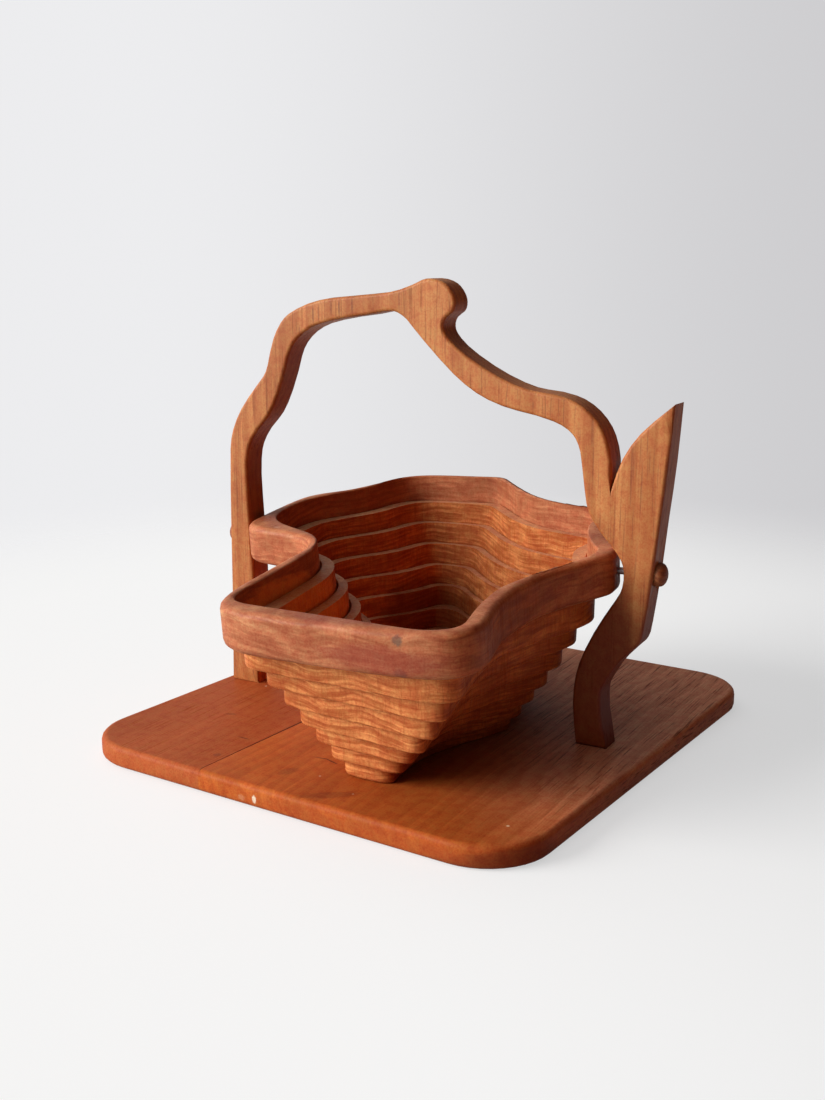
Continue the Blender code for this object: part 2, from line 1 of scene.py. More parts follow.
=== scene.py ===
# %% [markdown]
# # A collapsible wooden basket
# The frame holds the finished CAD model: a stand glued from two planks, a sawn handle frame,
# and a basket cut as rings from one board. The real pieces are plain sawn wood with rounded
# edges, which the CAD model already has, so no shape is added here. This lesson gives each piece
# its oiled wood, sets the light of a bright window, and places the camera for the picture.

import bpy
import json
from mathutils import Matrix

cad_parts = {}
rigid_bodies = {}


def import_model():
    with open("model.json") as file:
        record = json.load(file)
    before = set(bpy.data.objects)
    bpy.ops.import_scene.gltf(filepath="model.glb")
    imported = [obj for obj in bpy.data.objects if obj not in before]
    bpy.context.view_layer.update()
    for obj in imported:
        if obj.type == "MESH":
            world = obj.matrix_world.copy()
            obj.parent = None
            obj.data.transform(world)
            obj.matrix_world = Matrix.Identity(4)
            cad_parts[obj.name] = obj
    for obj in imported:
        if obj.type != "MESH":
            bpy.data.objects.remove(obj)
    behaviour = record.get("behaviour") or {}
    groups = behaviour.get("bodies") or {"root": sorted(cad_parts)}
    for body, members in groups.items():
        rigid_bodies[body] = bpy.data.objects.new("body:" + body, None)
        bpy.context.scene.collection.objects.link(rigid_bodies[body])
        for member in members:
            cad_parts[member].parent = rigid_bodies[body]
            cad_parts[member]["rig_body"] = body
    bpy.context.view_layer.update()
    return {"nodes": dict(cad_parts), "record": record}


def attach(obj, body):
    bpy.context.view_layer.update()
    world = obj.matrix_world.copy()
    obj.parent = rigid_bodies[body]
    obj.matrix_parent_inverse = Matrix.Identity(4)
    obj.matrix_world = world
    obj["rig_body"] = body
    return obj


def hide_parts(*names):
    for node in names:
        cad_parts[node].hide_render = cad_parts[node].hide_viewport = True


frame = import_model()

import json
import math
from collections import namedtuple

import bmesh
import bpy
from mathutils import Matrix, Vector

# %% [markdown]
# ## Places taken from the frame
# Nicks and stains lie on the board's top, open vessels lie on the handle's front, and a fine dark
# line marks where the two planks are glued. Their heights and the line's ends could be typed,
# but read from the CAD points they still fit when a size of the model changes. Marks are given
# in millimetres, as a maker would measure them.

# %% Places from the frame
MM = 0.001
SAME_HEIGHT = 0.01


def points_of(node_name):
    """A CAD node's points, in millimetres."""
    return [point.co / MM for point in frame["nodes"][node_name].data.vertices]


BOARD_TOP = max(point.z for point in points_of("board_wide_plank"))
HANDLE_FRONT = min(point.y for point in points_of("handle_frame"))
narrow_top = [point for point in points_of("board_narrow_plank")
              if point.z > BOARD_TOP - SAME_HEIGHT]
glue_front = max((point for point in narrow_top if point.y < 0.0), key=lambda point: point.x)
glue_back = max((point for point in narrow_top if point.y > 0.0), key=lambda point: point.x)
glue_middle = (glue_front + glue_back) / 2
glue_run = glue_back - glue_front
glue_turn = math.degrees(math.atan2(-glue_run.x, glue_run.y))
print("board top %.1f, handle front %.1f, glue line turned %.1f degrees"
      % (BOARD_TOP, HANDLE_FRONT, glue_turn))

# %% [markdown]
# ## The camera
# The picture is taken from a little above the board, turned to the right of the basket's open
# front, with a short telephoto view. A camera could be aimed by a constraint, but plain angles
# are easier to read and to repeat.

# %% Camera
CAMERA_TURN = math.radians(29.39)
CAMERA_RISE = math.radians(12.5459)
CAMERA_PLACE = (0.3872, -0.7160, 0.2995)
LENS_MM = 42.57
SENSOR_MM = 36.0

camera_data = bpy.data.cameras.new("camera")
camera_data.sensor_fit = "VERTICAL"
camera_data.sensor_height = SENSOR_MM
camera_data.lens = LENS_MM
camera = bpy.data.objects.new("camera", camera_data)
bpy.context.scene.collection.objects.link(camera)
camera.location = CAMERA_PLACE
camera.rotation_euler = (math.pi / 2 - CAMERA_RISE, 0.0, CAMERA_TURN)
bpy.context.scene.camera = camera
PICTURE_RIGHT = (math.cos(CAMERA_TURN), math.sin(CAMERA_TURN), 0.0)
print("camera at", CAMERA_PLACE)

# %% [markdown]
# ## Short names for node work
# Every wood here is painted by nodes. A node tree can be built by hand in the editor, but a
# script that adds each node in one line is easier to follow. These helpers add a node, do one
# sum, ease a value from one range to another, mix two colours, or start a group.

# %% Node helpers


def add(tree, kind, inputs=None, **settings):
    """Add a node, set its properties, and fill its inputs with values or sockets."""
    node = tree.nodes.new(kind)
    for name, value in settings.items():
        setattr(node, name, value)
    for key, value in (inputs or {}).items():
        if isinstance(value, bpy.types.NodeSocket):
            tree.links.new(value, node.inputs[key])
        else:
            node.inputs[key].default_value = value
    return node


def maths(tree, operation, first, second=0.0):
    """One sum of two values."""
    return add(tree, "ShaderNodeMath", {0: first, 1: second}, operation=operation).outputs[0]


def vector_maths(tree, operation, first, second, result="Vector"):
    """One sum of two vectors."""
    node = add(tree, "ShaderNodeVectorMath", {0: first, 1: second}, operation=operation)
    return node.outputs[result]


def remap(tree, value, low, high, to_low=0.0, to_high=1.0):
    """A value moved from one range to another, eased at both ends."""
    node = add(tree, "ShaderNodeMapRange",
               {"Value": value, "From Min": low, "From Max": high,
                "To Min": to_low, "To Max": to_high},
               interpolation_type="SMOOTHSTEP")
    return node.outputs["Result"]


def blend(tree, share, first, second, mode="MIX"):
    """Two colours mixed by a share."""
    node = add(tree, "ShaderNodeMix", {"Factor": share}, data_type="RGBA", blend_type=mode)
    for key, value in ((6, first), (7, second)):
        if isinstance(value, bpy.types.NodeSocket):
            tree.links.new(value, node.inputs[key])
        else:
            node.inputs[key].default_value = (*value, 1.0)
    return node.outputs[2]


def noise(tree, vector, scale=1.0, detail=2.0, roughness=0.5):
    """Soft noise between 0 and 1."""
    node = add(tree, "ShaderNodeTexNoise",
               {"Vector": vector, "Scale": scale, "Detail": detail, "Roughness": roughness})
    return node.outputs["Fac"]


def length_of(tree, vector):
    """A vector's length."""
    return add(tree, "ShaderNodeVectorMath", {0: vector}, operation="LENGTH").outputs["Value"]


def stretched(tree, vector, factors):
    """A vector scaled differently along each axis."""
    return vector_maths(tree, "MULTIPLY", vector, factors)


def new_group(name, inputs, outputs):
    """A node group and its two ends: inputs are (name, kind, value), outputs (name, kind)."""
    group = bpy.data.node_groups.new(name, "ShaderNodeTree")
    for key, kind, value in inputs:
        socket = group.interface.new_socket(key, in_out="INPUT", socket_type="NodeSocket" + kind)
        if value is not None:
            socket.default_value = value
    for key, kind in outputs:
        group.interface.new_socket(key, in_out="OUTPUT", socket_type="NodeSocket" + kind)
    return group, add(group, "NodeGroupInput").outputs, add(group, "NodeGroupOutput").inputs


print("node helpers ready")

# %% [markdown]
# ## The figure of the handle and the planks
# A sawn face shows where the saw passed through the tree's yearly layers. The layers are close
# to round sheets about a far pith and wobble slowly along the grain, and open pores are short
# dark lines along it. An image of wood would repeat and stretch on the sides, so the figure is
# solid: a node group reads a place in the wood, with the grain along Y, and gives masks of
# layers, pores, fibre and slow drift that each piece colours its own way.

# %% Long grain group
Streak = namedtuple("Streak", "scales low high")
LONG_STREAKS = {
    "Pores": Streak((950.0, 30.0, 950.0), 0.54, 0.72),
    "Fibre": Streak((900.0, 14.0, 900.0), 0.25, 0.75),
    "Drift": Streak((26.0, 9.0, 26.0), 0.3, 0.7),
}
WOBBLE_SCALES = (14.0, 5.0, 14.0)
ACROSS_THE_GRAIN = (1.0, 0.0, 1.0)
LAYER_RISE = (0.1, 0.85)
LAYER_FALL = (0.88, 1.0)


def saw_tooth(tree, count):
    """Slow rise through a layer and a quick fall at its end."""
    share = maths(tree, "FRACT", count)
    return maths(tree, "MULTIPLY", remap(tree, share, *LAYER_RISE),
                 remap(tree, share, *LAYER_FALL, 1.0, 0.0))


long_grain, given, result = new_group(
    "long_grain",
    (("Vector", "Vector", None), ("Layer Width", "Float", 0.006), ("Wobble", "Float", 0.010),
     ("Pith Side", "Float", 0.05), ("Pith Depth", "Float", -0.12)),
    (("Layers", "Float"), ("Pores", "Float"), ("Fibre", "Float"), ("Drift", "Float")))
place = given["Vector"]
slow = noise(long_grain, stretched(long_grain, place, WOBBLE_SCALES), detail=3.0)
shift = maths(long_grain, "MULTIPLY", maths(long_grain, "SUBTRACT", slow, 0.5), given["Wobble"])
pith = add(long_grain, "ShaderNodeCombineXYZ", {"X": given["Pith Side"], "Z": given["Pith Depth"]})
across = stretched(long_grain, place, ACROSS_THE_GRAIN)
away = vector_maths(long_grain, "SUBTRACT", across, pith.outputs[0])
radius = maths(long_grain, "ADD", length_of(long_grain, away), shift)
count = maths(long_grain, "DIVIDE", radius, given["Layer Width"])
long_grain.links.new(saw_tooth(long_grain, count), result["Layers"])
for name, streak in LONG_STREAKS.items():
    figure = noise(long_grain, stretched(long_grain, place, streak.scales))
    long_grain.links.new(remap(long_grain, figure, streak.low, streak.high), result[name])
print("long grain group has", len(long_grain.nodes), "nodes")

# %% [markdown]
# ## The figure of the basket's board
# The basket is cut from a flat sawn board, so on its upright cut faces the layers lie almost
# level and rise and fall in waves. The saw blade leaves fine upright lines across them. The
# first group can't give this, since its layers curve about a pith, so a second group lifts level
# layers by slow noise and adds the blade's lines and soft patches, with the thickness along Z.

# %% Flat sawn group
BOARD_STREAKS = {
    "Streaks": Streak((32.0, 32.0, 400.0), 0.42, 0.62),
    "Blade": Streak((480.0, 480.0, 60.0), 0.42, 0.72),
    "Patches": Streak((46.0, 46.0, 120.0), 0.40, 0.62),
}
WAVE_SCALES = (19.0, 13.0, 9.0)
BREAK = Streak((30.0, 30.0, 110.0), 0.35, 0.62)
BREAK_LEAST = 0.25

flat_sawn, given, result = new_group(
    "flat_sawn",
    (("Vector", "Vector", None), ("Layer Height", "Float", 0.0034), ("Wave", "Float", 0.025)),
    (("Layers", "Float"), ("Streaks", "Float"), ("Blade", "Float"), ("Patches", "Float")))
place = given["Vector"]
wave = noise(flat_sawn, stretched(flat_sawn, place, WAVE_SCALES), detail=2.5, roughness=0.45)
lift = maths(flat_sawn, "MULTIPLY", maths(flat_sawn, "SUBTRACT", wave, 0.5), given["Wave"])
height = add(flat_sawn, "ShaderNodeSeparateXYZ", {0: place}).outputs["Z"]
count = maths(flat_sawn, "DIVIDE", maths(flat_sawn, "ADD", height, lift), given["Layer Height"])
gaps = noise(flat_sawn, stretched(flat_sawn, place, BREAK.scales))
broken = remap(flat_sawn, gaps, BREAK.low, BREAK.high, BREAK_LEAST, 1.0)
layers = maths(flat_sawn, "MULTIPLY", saw_tooth(flat_sawn, count), broken)
flat_sawn.links.new(layers, result["Layers"])
risen = add(flat_sawn, "ShaderNodeCombineXYZ", {"Z": lift}).outputs[0]
level = vector_maths(flat_sawn, "ADD", place, risen)
for name, streak in BOARD_STREAKS.items():
    source = level if name == "Streaks" else place
    figure = noise(flat_sawn, stretched(flat_sawn, source, streak.scales), detail=4.0,
                   roughness=0.65)
    flat_sawn.links.new(remap(flat_sawn, figure, streak.low, streak.high), result[name])
print("flat sawn group has", len(flat_sawn.nodes), "nodes")

# %% [markdown]
# ## Marks of use
# A used basket has dark vessels opened by the saw, nicks, stains, chips and parts that have
# darkened or stayed light. They could be painted on an image, but each one is simple enough to
# be a soft spot with a ragged edge at one place in the wood. The group stretches and turns space
# about the spot's centre and gives a mask.

# %% Mark group
MARK_RAGGED = 1.6
MARK_CORE = 0.55
MARK_EDGE = 1.0

mark_group, given, result = new_group(
    "mark",
    [(key, "Vector", None) for key in ("Vector", "Centre", "Turn", "Size")],
    [("Mask", "Float")])
inside = add(mark_group, "ShaderNodeMapping",
             {"Vector": given["Vector"], "Location": given["Centre"],
              "Rotation": given["Turn"], "Scale": given["Size"]},
             vector_type="TEXTURE").outputs[0]
ragged = noise(mark_group, inside, MARK_RAGGED, detail=3.0, roughness=0.6)
ragged_share = maths(mark_group, "SUBTRACT", ragged, 0.5)
edge = maths(mark_group, "ADD", length_of(mark_group, inside), ragged_share)
mark_group.links.new(remap(mark_group, edge, MARK_CORE, MARK_EDGE, 1.0, 0.0), result["Mask"])
print("mark group has", len(mark_group.nodes), "nodes")

# %% [markdown]
# ## Laying marks
# A mark is given as a maker would point it out: where it is, how far it reaches each way, how it
# is turned, its tone, and how strongly it shows. Each is laid over the ones before it in its
# list, as a new stain is laid over an old one.

# %% Laying marks
Mark = namedtuple("Mark", "centre size turn tone share")
MARK_DEPTH = 3.0


def on_board(x, y, half_x, half_y, turn, tone, share):
    """A mark on the board's top."""
    return Mark((x, y, BOARD_TOP), (half_x, half_y, MARK_DEPTH), turn, tone, share)


def with_marks(tree, color, place, marks):
    """Colour with marks laid over it, their centres and half sizes in millimetres."""
    for mark in marks:
        node = add(tree, "ShaderNodeGroup", node_tree=mark_group)
        tree.links.new(place, node.inputs["Vector"])
        node.inputs["Centre"].default_value = [value * MM for value in mark.centre]
        node.inputs["Size"].default_value = [value * MM for value in mark.size]
        node.inputs["Turn"].default_value = (0.0, 0.0, math.radians(mark.turn))
        share = maths(tree, "MULTIPLY", node.outputs["Mask"], mark.share)
        color = blend(tree, share, color, mark.tone)
    return color


print("marks can be laid")

# %% [markdown]
# ## The oil finish and painted side shade
# Oil soaks in unevenly, so the wood has coarse and fine flecks. Faces turned to the right, away
# from the window, are painted deeper and redder: this is painted shade. Flecks and this shade
# could go into each wood's own nodes, but all woods share them, so they are one group. The shine
# itself stays in each material's shader: low and satin, duller where pores or blade lines break
# the surface.

# %% Oiled group
Fleck = namedtuple("Fleck", "scale darkest")
FLECKS = (Fleck(900.0, 0.76), Fleck(150.0, 0.80))
FLECK_RANGE = (0.32, 0.62)
FLECK_LIGHTEST = 1.06
RED_KEPT = 0.25
SIDE_SHADE_TONE = (0.88, 0.46, 0.24)
SHADED_SIDE_FACING = (0.1, 1.0)

oil_flecks_and_side_shade, given, result = new_group(
    "oil_flecks_and_side_shade",
    (("Color", "Color", None), ("Vector", "Vector", None), ("Normal", "Vector", None)),
    [("Color", "Color")])
color = given["Color"]
for fleck in FLECKS:
    soft = noise(oil_flecks_and_side_shade, given["Vector"], fleck.scale, detail=3.0, roughness=0.6)
    speck = remap(oil_flecks_and_side_shade, soft, *FLECK_RANGE, fleck.darkest, FLECK_LIGHTEST)
    red = remap(oil_flecks_and_side_shade, speck, 0.0, 1.0, RED_KEPT, 1.0)
    shade = add(oil_flecks_and_side_shade, "ShaderNodeCombineColor", {"Red": red, "Green": speck, "Blue": speck})
    color = blend(oil_flecks_and_side_shade, 1.0, color, shade.outputs[0], "MULTIPLY")
# painted shade: faces turned to the right, away from the window, are painted deeper and redder
facing = add(oil_flecks_and_side_shade, "ShaderNodeSeparateXYZ", {0: given["Normal"]}).outputs["X"]
side_shaded = blend(oil_flecks_and_side_shade, 1.0, color, SIDE_SHADE_TONE, "MULTIPLY")
color = blend(oil_flecks_and_side_shade, remap(oil_flecks_and_side_shade, facing, *SHADED_SIDE_FACING), color, side_shaded)
oil_flecks_and_side_shade.links.new(color, result["Color"])
print("oiled group has", len(oil_flecks_and_side_shade.nodes), "nodes")

# %% Oil finish
WOOD_IOR = 1.45
BUMP_HEIGHT = 0.0003
DULLER = 0.2


def wood_material(name):
    """A new material, its node tree, and the coordinates its wood is read at."""
    material = bpy.data.materials.new(name)
    material.use_nodes = True
    return material, material.node_tree, add(material.node_tree, "ShaderNodeTexCoord").outputs


def oil_finish_and_side_shade(tree, where, color, dull, height, roughness, relief, shine):
    """Oil a colour, paint shade on its right-facing sides, and give it a satin surface, duller by
    one mask and raised by another.
    """
    shader = tree.nodes["Principled BSDF"]
    finish = add(tree, "ShaderNodeGroup",
                 {"Color": color, "Vector": where["Object"], "Normal": where["Normal"]},
                 node_tree=oil_flecks_and_side_shade)
    tree.links.new(finish.outputs["Color"], shader.inputs["Base Color"])
    rough = remap(tree, dull, 0.0, 1.0, roughness, roughness + DULLER)
    tree.links.new(rough, shader.inputs["Roughness"])
    shader.inputs["IOR"].default_value = WOOD_IOR
    shader.inputs["Specular IOR Level"].default_value = shine
    bump = add(tree, "ShaderNodeBump",
               {"Strength": relief, "Distance": BUMP_HEIGHT, "Height": height})
    tree.links.new(bump.outputs[0], shader.inputs["Normal"])


print("oil finish ready")

# %% [markdown]
# ## Wood with long grain
# Handle, plugs and planks are cut along the grain. Their wood goes from light to dark over slow
# drift, then fibre, layers and pores are laid over each other as thin coats of stain would be.
# One function does this for all four, and each piece gives its tones and its grain's direction.

# %% Long grained wood
SHEEN_TONE = (0.80, 0.38, 0.23)
SHEEN_SHARE = 0.7
PORES_OUTSIDE_SHEEN = 0.12
FIBRE_RAISED = 0.4


def between(light, dark):
    """The tone halfway from light to dark."""
    return [(a + b) / 2 for a, b in zip(light, dark)]


def long_grained(name, light, dark, pore_tone, turn=(0.0, 0.0, 0.0), layer_width=0.006,
                 wobble=0.012, pith=(0.05, -0.12), layer_share=0.6, pore_share=0.5,
                 fibre_share=0.3, roughness=0.45, relief=0.2, shine=0.22, pores_and_sheen=None, marks=()):
    """Oiled wood with its grain turned from Y, and a zone given as (direction, start, end) where
    the pores open and a painted sheen lies.
    """
    material, tree, where = wood_material(name)
    turned = add(tree, "ShaderNodeMapping",
                 {"Vector": where["Object"], "Rotation": [math.radians(v) for v in turn]})
    masks = add(tree, "ShaderNodeGroup",
                {"Vector": turned.outputs[0], "Layer Width": layer_width, "Wobble": wobble,
                 "Pith Side": pith[0], "Pith Depth": pith[1]},
                node_tree=long_grain).outputs
    pores = masks["Pores"]
    color = blend(tree, masks["Drift"], light, between(light, dark))
    if pores_and_sheen:
        toward, start, end = pores_and_sheen
        along = vector_maths(tree, "DOT_PRODUCT", where["Object"], toward, "Value")
        pores_and_sheen_share = remap(tree, along, start, end)
        pores = maths(tree, "MULTIPLY", pores, remap(tree, pores_and_sheen_share, 0.0, 1.0, PORES_OUTSIDE_SHEEN, 1.0))
        # painted reflection: a grey sheen of the pale wall, also lightening the basket's shadow on
        # the plank
        color = blend(tree, maths(tree, "MULTIPLY", pores_and_sheen_share, SHEEN_SHARE), color, SHEEN_TONE)
    for mask, share, tone in ((masks["Fibre"], fibre_share, dark),
                              (masks["Layers"], layer_share, dark),
                              (pores, pore_share, pore_tone)):
        color = blend(tree, maths(tree, "MULTIPLY", mask, share), color, tone)
    color = with_marks(tree, color, where["Object"], marks)
    raised = maths(tree, "MULTIPLY", masks["Fibre"], FIBRE_RAISED)
    height = maths(tree, "SUBTRACT", raised, pores)
    oil_finish_and_side_shade(tree, where, color, pores, height, roughness, relief, shine)
    return material


woods = {}
print("long grained wood ready")

# %% [markdown]
# ## Handle
# The handle frame is sawn from one board with the grain upright, and its front shows long dark
# vessels on the arch. They could come from the pore noise, but the photograph shows where each
# one is, so they are laid as narrow marks. The lower right leg gets a painted shadow, where the
# basket shades it.

# %% Handle wood
UPRIGHT = (90.0, 0.0, 0.0)
VESSEL = (0.22, 0.07, 0.028)
VESSEL_HALF_WIDTH = 0.8
VESSEL_DEPTH = 4.0
Vessel = namedtuple("Vessel", "x z half_length share")
vessels = [
    Vessel(-76.5, 266.0, 7.5, 0.8), Vessel(-72.3, 267.0, 7.0, 0.6),
    Vessel(-62.9, 270.5, 6.0, 0.7), Vessel(-57.0, 270.6, 6.5, 0.8),
    Vessel(-47.4, 272.0, 6.5, 0.75), Vessel(-13.8, 276.0, 8.0, 0.5),
    Vessel(-87.0, 255.0, 5.0, 0.5), Vessel(-101.0, 228.0, 5.0, 0.5),
    Vessel(76.2, 217.3, 2.5, 0.45),
]
handle_marks = [
    Mark((vessel.x, HANDLE_FRONT, vessel.z),
         (VESSEL_HALF_WIDTH, VESSEL_DEPTH, vessel.half_length), 0.0, VESSEL, vessel.share)
    for vessel in vessels
]
# painted shadow: the basket shades the lower right leg
LEG_SHADOW_TONE = (0.17, 0.025, 0.005)
painted_leg_shadow = Mark((116.0, -10.0, 45.0), (52.0, 60.0, 112.0), 0.0, LEG_SHADOW_TONE, 0.88)
handle_marks.append(painted_leg_shadow)
woods["handle"] = long_grained("handle_wood", (0.57, 0.23, 0.076), (0.32, 0.092, 0.025), VESSEL,
                               turn=UPRIGHT, layer_width=0.0052, wobble=0.010,
                               pith=(0.03, -0.25), layer_share=0.5, pore_share=0.6,
                               marks=handle_marks)
print("handle has", len(handle_marks), "marks")

# %% [markdown]
# ## Button plugs
# The two plugs over the screws are small turned buttons of darker wood. They are too small to
# show much figure, so they use the same wood with tighter layers and darker tones.

# %% Plug wood
woods["plug"] = long_grained("plug_wood", (0.36, 0.12, 0.045), (0.20, 0.055, 0.02), VESSEL,
                             layer_width=0.004)
print("woods so far:", sorted(woods))

# %% [markdown]
# ## Narrow plank
# The left plank of the stand is smooth and even, with two nicks, a pale pin hole and a small
# stain. The glued faces touch, so the shapes alone show no line there. A groove could be cut, but
# the real line is flush and only dark, so it is a long thin mark laid on both planks.

# %% Narrow plank wood
NICK = (0.05, 0.016, 0.010)
GLUE_HALF_WIDTH = 1.1
GLUE_HALF_LENGTH = 200.0
glue_line = on_board(glue_middle.x, glue_middle.y, GLUE_HALF_WIDTH, GLUE_HALF_LENGTH, glue_turn,
                     NICK, 0.75)
narrow_marks = [
    # two nicks
    on_board(-106.3, -78.8, 5.0, 1.0, 25.0, NICK, 0.6),
    on_board(-73.0, -109.7, 5.5, 1.0, -5.0, NICK, 0.5),
    # a pale pin hole and a small stain
    on_board(-119.8, -21.4, 0.9, 0.9, 0.0, (0.75, 0.60, 0.45), 0.8),
    on_board(-70.0, -140.0, 3.0, 3.0, 0.0, (0.15, 0.05, 0.03), 0.4),
    glue_line,
]
woods["narrow_plank"] = long_grained("narrow_plank_wood", (0.50, 0.125, 0.036),
                                     (0.33, 0.068, 0.016), (0.12, 0.03, 0.012),
                                     layer_width=0.008, wobble=0.03, pith=(-0.4, -0.15),
                                     layer_share=0.22, pore_share=0.2, shine=0.10,
                                     roughness=0.5, marks=narrow_marks)
print("narrow plank has", len(narrow_marks), "marks")

# %% [markdown]
# ## Wide plank
# The right plank glows orange in front and turns greyer and open pored toward its right side:
# the pores there are open, and the grey is a painted reflection of the pale wall that also
# lightens the basket's shadow. That change is a slow blend along one direction, not a mark,
# because it crosses the whole plank. Dark stains lie in front of the basket, the front edge is
# darker toward its right corner, and a pale chip sits on it near the glue line.

# %% Wide plank wood
STAIN = (0.14, 0.035, 0.012)
PALE_FLECK = (0.60, 0.42, 0.26)
wide_marks = [
    # two nicks in front of the basket
    on_board(-13.0, -114.0, 6.0, 0.9, 4.0, NICK, 0.8),
    on_board(-5.0, -115.6, 7.0, 0.8, -20.0, NICK, 0.7),
    # dark stains near the front edge
    on_board(-19.2, -140.1, 9.0, 5.0, 60.0, STAIN, 0.3),
    on_board(20.5, -157.1, 22.0, 5.0, 35.0, (0.14, 0.03, 0.010), 0.35),
    # two long stretches where the oil glows
    on_board(-10.0, -90.0, 40.0, 9.0, 75.0, (0.50, 0.14, 0.030), 0.35),
    on_board(60.0, -130.0, 45.0, 10.0, 80.0, (0.45, 0.11, 0.020), 0.35),
    # pale flecks
    on_board(0.9, -137.3, 0.9, 0.9, 0.0, PALE_FLECK, 0.8),
    on_board(30.8, -149.8, 0.8, 0.8, 0.0, PALE_FLECK, 0.6),
    on_board(122.7, -145.5, 1.1, 1.1, 0.0, (0.85, 0.66, 0.42), 0.9),
    # the front edge darker, more so at its right corner
    Mark((50.0, -176.0, 1.5), (140.0, 16.0, 11.0), 0.0, (0.33, 0.070, 0.018), 0.5),
    Mark((140.0, -160.0, 0.0), (56.0, 40.0, 12.0), 0.0, (0.20, 0.042, 0.014), 0.7),
    # the pale chip and the bare wood beside it
    Mark((-23.2, -167.7, 5.5), (1.8, 3.0, 2.8), 0.0, (0.72, 0.62, 0.46), 0.95),
    Mark((-32.5, -167.0, 4.5), (3.2, 3.0, 2.2), 0.0, (0.58, 0.30, 0.16), 0.35),
    glue_line,
]
woods["wide_plank"] = long_grained("wide_plank_wood", (0.56, 0.135, 0.025), (0.29, 0.056, 0.010),
                                   (0.07, 0.018, 0.009), layer_width=0.009, wobble=0.05,
                                   pith=(-0.3, -0.14), layer_share=0.3, pore_share=0.65,
                                   shine=0.10, roughness=0.5,
                                   pores_and_sheen=((0.75, 0.66, 0.0), -0.04, 0.11), marks=wide_marks)
print("wide plank has", len(wide_marks), "marks")

# %% [markdown]
# ## The basket's pieces, back in one board
# Rim, rings and bottom are cut from one board, so their figures have to run on from piece to
# piece when the basket is closed. Each could have its own noise, but then the closed basket
# would look patched. The frame's joints say how far each ring turns to close, and the same turns
# carry each ring's figure back to the whole board.

# %% Back to the whole board
RIM_TILT = Matrix.Rotation(math.radians(5.2), 4, "X")
RIM_TURN = Matrix.Rotation(math.radians(-1.0), 4, "Y")
joints = {joint["child"]: joint for joint in frame["record"]["behaviour"]["joints"]}
basket_bodies = ["rim", *("tier_%d" % number for number in range(1, 7)), "bottom"]


def closing_turn(joint):
    """The turn about a joint's line that closes it."""
    place = Matrix.Translation(joint["pos_m"])
    turn = Matrix.Rotation(math.radians(joint["range_deg"][1]), 4, Vector(joint["axis"]))
    return place @ turn @ place.inverted()


to_board = {}
closed = (Matrix.Translation(joints["rim"]["pos_m"]) @ RIM_TURN @ RIM_TILT).inverted()
for body in basket_bodies:
    if body != "rim":
        closed = closed @ closing_turn(joints[body])
    to_board[body] = closed.copy()
print("pieces brought back to the board:", len(to_board))

# %% [markdown]
# ## Wood of the basket's board
# This wood is laid up as the handle's is, but from the flat sawn masks. The flat tops of the
# rings get a paler tone than their sawn walls: painted light, as from above. Two materials for
# one ring would need its faces sorted, so one material blends between the two tones by which
# way the surface faces.

# %% Flat sawn wood
PAINTED_TOP_LIGHT = (0.62, 0.33, 0.19)
PAINTED_TOP_LIGHT_SHARE = 0.5
TOP_FACING = (0.75, 0.97)
PATCH_SHARE = 0.9
SAWN_ROUGHNESS = 0.42
LAYERS_RAISED = 0.7


def flat_sawn_wood(name, turn, light, dark, marks=(), top_marks=(), streak_share=0.7,
                   layer_share=0.45, blade_share=0.4, relief=0.5, shine=0.12):
    """Oiled wood of the basket's board, its figure carried by a turn to the whole board."""
    material, tree, where = wood_material(name)
    whole = add(tree, "ShaderNodeMapping",
                {"Vector": where["Object"], "Location": turn.to_translation(),
                 "Rotation": turn.to_euler()})
    masks = add(tree, "ShaderNodeGroup", {"Vector": whole.outputs[0]},
                node_tree=flat_sawn).outputs
    patches = maths(tree, "MULTIPLY", masks["Patches"], PATCH_SHARE)
    color = blend(tree, patches, light, between(light, dark))
    for key, share in (("Streaks", streak_share), ("Layers", layer_share),
                       ("Blade", blade_share)):
        color = blend(tree, maths(tree, "MULTIPLY", masks[key], share), color, dark)
    shown = with_marks(tree, color, where["Object"], marks)
    if top_marks:
        rising = add(tree, "ShaderNodeSeparateXYZ", {0: where["Normal"]}).outputs["Z"]
        # painted light: faces turned up get a paler tone, as lit from above
        top_lit = blend(tree, PAINTED_TOP_LIGHT_SHARE, color, PAINTED_TOP_LIGHT)
        tops = with_marks(tree, top_lit, where["Object"], top_marks)
        shown = blend(tree, remap(tree, rising, *TOP_FACING), shown, tops)
    raised = maths(tree, "MULTIPLY", masks["Layers"], LAYERS_RAISED)
    height = maths(tree, "ADD", masks["Blade"], raised)
    oil_finish_and_side_shade(tree, where, shown, masks["Blade"], height, SAWN_ROUGHNESS, relief, shine)
    return material


basket_woods = {}
print("flat sawn wood ready")

# %% [markdown]
# ## Rim
# The rim is handled most, so it is smoother than the rings, with weak figure and almost no
# blade lines, and its tone is greyer than theirs as painted sheen. Its front has two grey finger
# marks, paler and redder parts, and darker bands under its rounded top edge.

